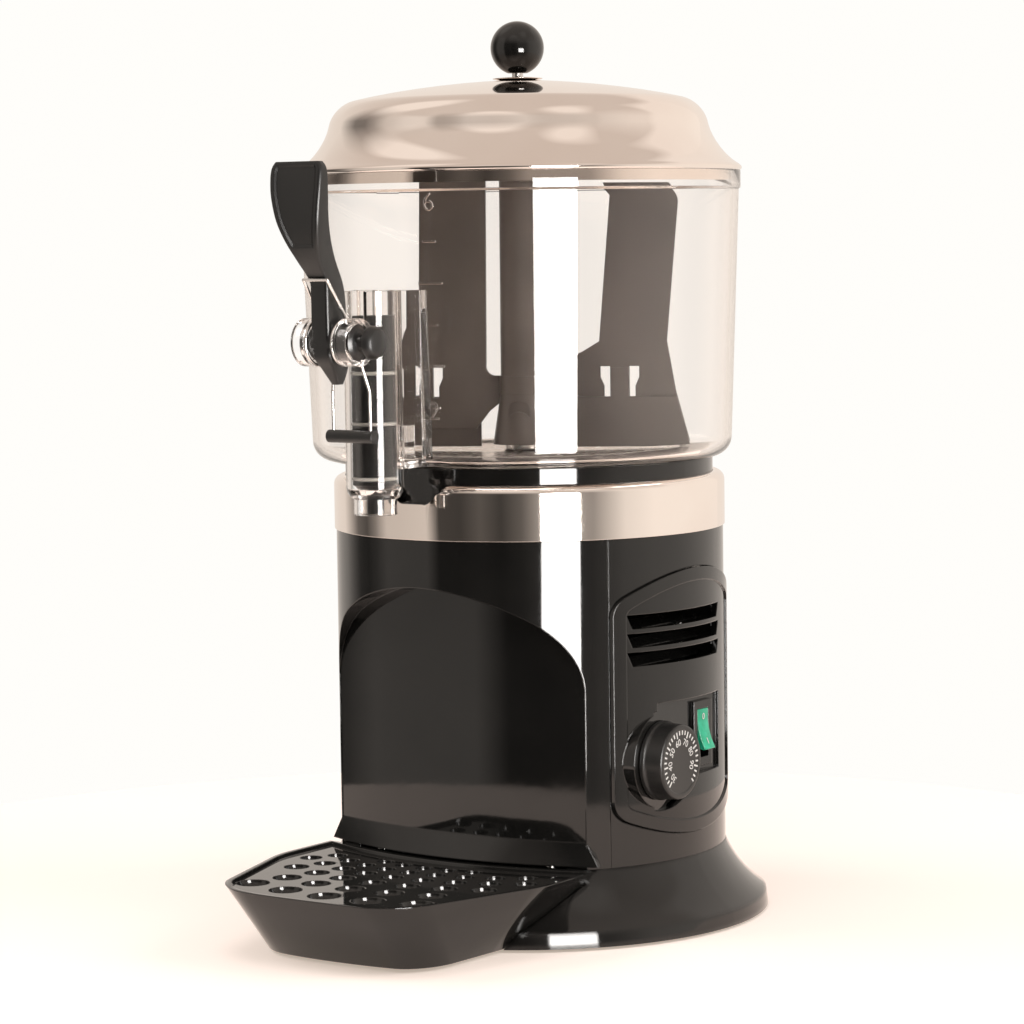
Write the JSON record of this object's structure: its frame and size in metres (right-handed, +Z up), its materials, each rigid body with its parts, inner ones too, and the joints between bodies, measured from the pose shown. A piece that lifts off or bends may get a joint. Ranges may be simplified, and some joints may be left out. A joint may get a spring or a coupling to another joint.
{
  "type": "hot chocolate dispenser",
  "caption": "Countertop hot chocolate dispenser: heated clear bowl with turning mixer, steel lid, lever tap, round black base with thermostat and switch, and a drip tray.",
  "frame": {"origin": "centre of the bounding box on the ground, under the feet", "axes": "+Z up, the tap and the drip tray towards -Y, the control panel towards +X"},
  "size_m": [0.248, 0.325, 0.465],
  "materials": {
    "black_plastic": "glossy black moulded plastic",
    "black_matte": "satin black plastic",
    "steel": "polished stainless steel",
    "plated_steel": "zinc plated steel",
    "clear_plastic": "clear polycarbonate",
    "brown_plastic": "dark grey-brown moulded plastic",
    "silicone": "soft silicone",
    "rubber": "black rubber",
    "green_plastic": "translucent green plastic",
    "motor_metal": "grey motor casing",
    "copper": "sheathed heating tube"
  },
  "bodies": {
    "base": {"base_plinth": "black_plastic", "bottom_plate": "black_matte", "bottom_screws": "plated_steel", "rubber_feet": "rubber", "front_cover": "black_plastic", "rear_cover": "black_plastic", "control_panel": "black_plastic", "vent_slats": "black_matte", "thermostat": "motor_metal", "switch_frame": "black_matte", "steel_band": "steel", "deck_ring": "black_plastic", "bowl_gasket": "silicone", "heating_dish": "steel", "water_tank": "steel", "heating_element": "copper", "shaft_seal": "silicone", "tank_deck": "plated_steel", "tie_rods": "plated_steel", "gearbox": "motor_metal", "motor": "motor_metal", "terminal_block": "black_matte", "overheat_cutout": "motor_metal", "cord_gland": "black_matte"},
    "dial": {"thermostat_dial": "black_matte", "dial_spindle": "plated_steel"},
    "rocker": {"rocker_switch": "green_plastic"},
    "shaft": {"drive_shaft": "steel"},
    "mixer": {"mixer": "brown_plastic", "scraper_blades": "brown_plastic"},
    "bowl": {"bowl": "clear_plastic", "tap_housing": "clear_plastic", "lever_pin": "black_matte", "lever_spring": "plated_steel", "spring_sleeve": "black_matte"},
    "piston": {"tap_piston": "black_matte", "piston_seals": "silicone"},
    "lever": {"tap_lever": "black_plastic"},
    "lid": {"lid": "steel", "lid_knob": "black_plastic", "knob_washer": "steel", "knob_screw": "plated_steel"},
    "tray": {"drip_tray": "black_plastic"},
    "grid": {"tray_grid": "black_plastic"}
  },
  "joints": [
    {"name": "thermostat_turn", "type": "hinge", "parent": "base", "child": "dial", "pos_m": [0.097, 0.0118, 0.0883], "axis": [1, 0, 0], "range_deg": [0, 270]},
    {"name": "power_rocker", "type": "hinge", "parent": "base", "child": "rocker", "pos_m": [0.0955, 0.05, 0.0975], "axis": [0, 1, 0], "range_deg": [0, 24]},
    {"name": "shaft_spin", "type": "hinge", "parent": "base", "child": "shaft", "pos_m": [0, 0.0327, 0.2], "axis": [0, 0, 1], "continuous": true},
    {"name": "mixer_lift", "type": "slide", "parent": "shaft", "child": "mixer", "axis": [0, 0, 1], "range_m": [0, 0.161]},
    {"name": "bowl_lift", "type": "slide", "parent": "base", "child": "bowl", "axis": [0, 0, 1], "range_m": [0, 0.16]},
    {"name": "lid_lift", "type": "slide", "parent": "bowl", "child": "lid", "axis": [0, 0, 1], "range_m": [0, 0.06]},
    {"name": "tap_pull", "type": "hinge", "parent": "bowl", "child": "lever", "pos_m": [0, -0.1272, 0.304], "axis": [1, 0, 0], "range_deg": [0, 30], "stiffness_Nm_per_rad": 0.6, "springref_deg": -17.19, "deforming": ["lever_spring"]},
    {"name": "piston_lift", "type": "slide", "parent": "bowl", "child": "piston", "axis": [0, 0, 1], "range_m": [0, 0.0166]},
    {"name": "tray_slide", "type": "slide", "parent": "base", "child": "tray", "axis": [0, -1, 0], "range_m": [0, 0.06]},
    {"name": "grid_lift", "type": "slide", "parent": "tray", "child": "grid", "axis": [0, 0, 1], "range_m": [0, 0.03]}
  ],
  "couplings": [
    {"joint": "mixer_lift", "follows": "bowl_lift", "ratio": 1},
    {"joint": "piston_lift", "follows": "tap_pull", "m_per_rad": 0.0312}
  ]
}
